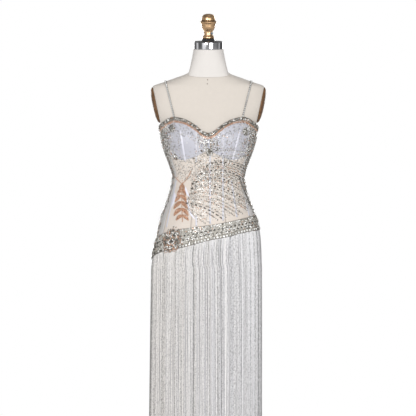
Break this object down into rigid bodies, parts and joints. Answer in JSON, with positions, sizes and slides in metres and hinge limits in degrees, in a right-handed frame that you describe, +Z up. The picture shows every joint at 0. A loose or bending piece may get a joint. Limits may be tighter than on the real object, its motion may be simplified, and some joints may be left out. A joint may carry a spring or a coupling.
{
  "type": "beaded fringe evening gown on a dress form",
  "caption": "Column evening gown with sweetheart cups, boned midriff, slanting beaded hip band and long bead fringe, worn by a limbless dress form on a round stand.",
  "frame": {"origin": "centre of the base plate's underside", "axes": "+Z up; the gown's front faces -Y; the wearer's left is +X"},
  "size_m": [0.3952, 0.36, 1.6049],
  "materials": {
    "form_linen": "plain ivory linen weave",
    "neck_linen": "smooth pale linen",
    "chrome_band": "polished",
    "black_enamel": "satin black",
    "aged_brass": "aged, satin",
    "screw_steel": "satin",
    "arm_plate_wood": "dark brown, satin",
    "stand_steel": "grey, satin",
    "nude_net": "fine sheer net",
    "beaded_net": "net covered with small stones",
    "sheath_silk": "soft satin",
    "crystal_beading": "faceted silver-grey stones",
    "copper_beading": "copper-lined glass beads",
    "fringe_beads": "silver-white glass beads"
  },
  "bodies": {
    "root": {"form_torso": "form_linen", "form_neck": "neck_linen", "neck_band": "chrome_band", "neck_plate": "black_enamel", "finial": "aged_brass", "set_screw": "screw_steel", "arm_plate_left": "arm_plate_wood", "arm_plate_right": "arm_plate_wood", "pole": "stand_steel", "base_plate": "stand_steel", "cup_left": "nude_net", "cup_right": "nude_net", "front_centre": "nude_net", "side_front_left": "nude_net", "side_front_right": "nude_net", "side_left": "beaded_net", "side_right": "beaded_net", "back_left": "nude_net", "back_right": "nude_net", "back_placket": "nude_net", "skirt_front": "sheath_silk", "skirt_back": "sheath_silk", "hip_band_front": "crystal_beading", "hip_band_back": "crystal_beading", "bead_fringe": "fringe_beads", "neck_trim_front": "crystal_beading", "neck_trim_back": "crystal_beading", "strap_left": "crystal_beading", "strap_right": "crystal_beading", "cup_flower_left": "crystal_beading", "cup_flower_right": "crystal_beading", "centre_flower": "crystal_beading", "side_flower": "crystal_beading", "hip_flower": "copper_beading"}
  },
  "joints": []
}
